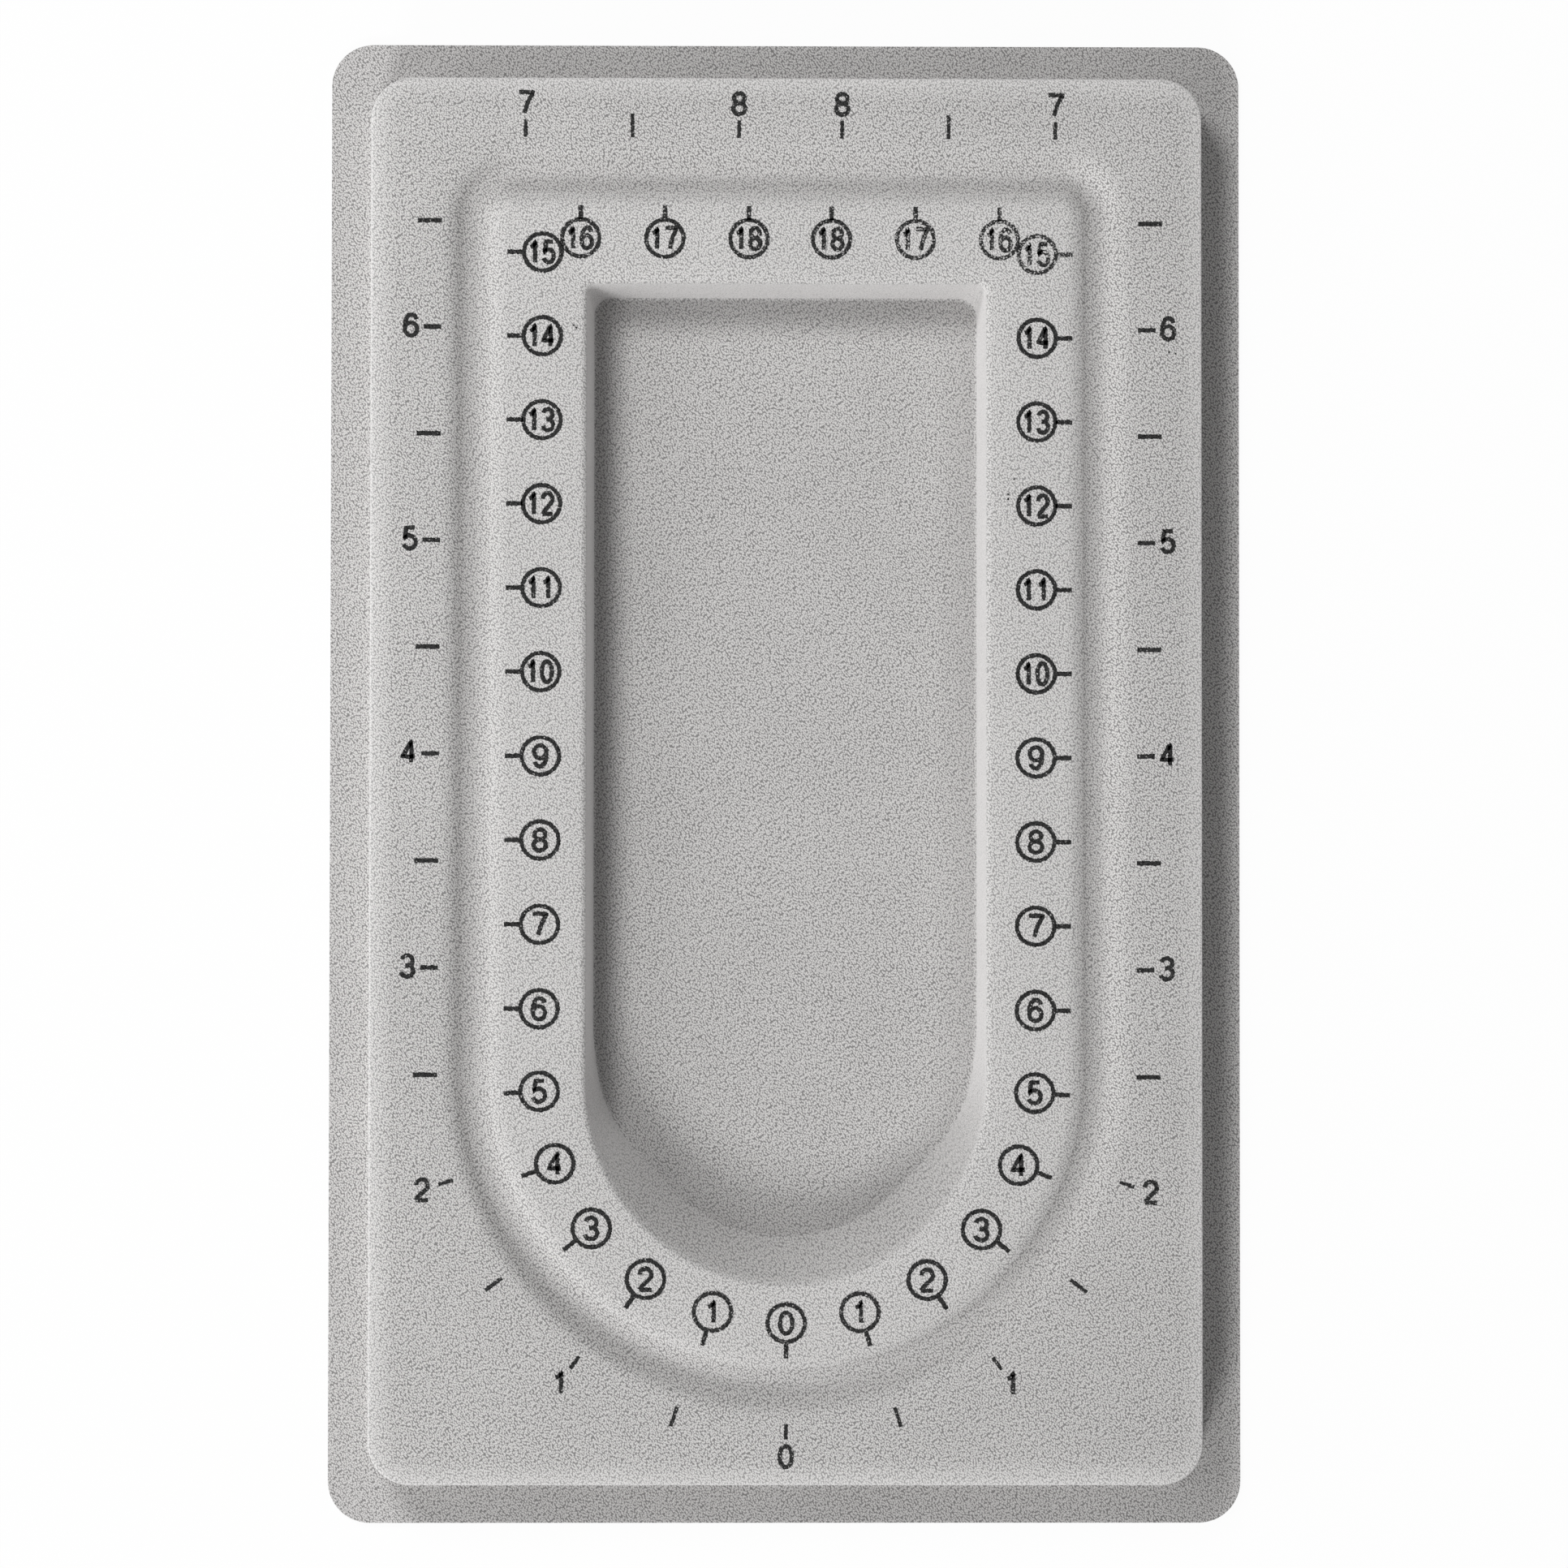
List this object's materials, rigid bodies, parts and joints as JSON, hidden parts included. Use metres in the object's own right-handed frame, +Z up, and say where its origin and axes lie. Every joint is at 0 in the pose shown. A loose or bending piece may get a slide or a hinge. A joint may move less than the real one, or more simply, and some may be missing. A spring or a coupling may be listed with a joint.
{
  "type": "bead board",
  "caption": "Flat flocked tray with a raised deck, a shallow U-shaped measuring groove and a sunk bead well with a scooped round end, for laying out strung beads.",
  "frame": {"origin": "centre of the rim's underside, on the surface the board lies on", "axes": "+X across the board to the right, +Y along the board towards the square end of the groove, +Z up out of the deck"},
  "size_m": [0.1092, 0.1774, 0.0104],
  "materials": {
    "sheet": "vacuum-formed grey polystyrene sheet, satin underside",
    "adhesive": "cured flock adhesive film",
    "flock": "short grey flock pile, matt and velvety, printed with dark ink scales"
  },
  "bodies": {
    "root": {"formed_sheet": "sheet", "flock_adhesive": "adhesive", "flock_pile": "flock"}
  },
  "joints": []
}
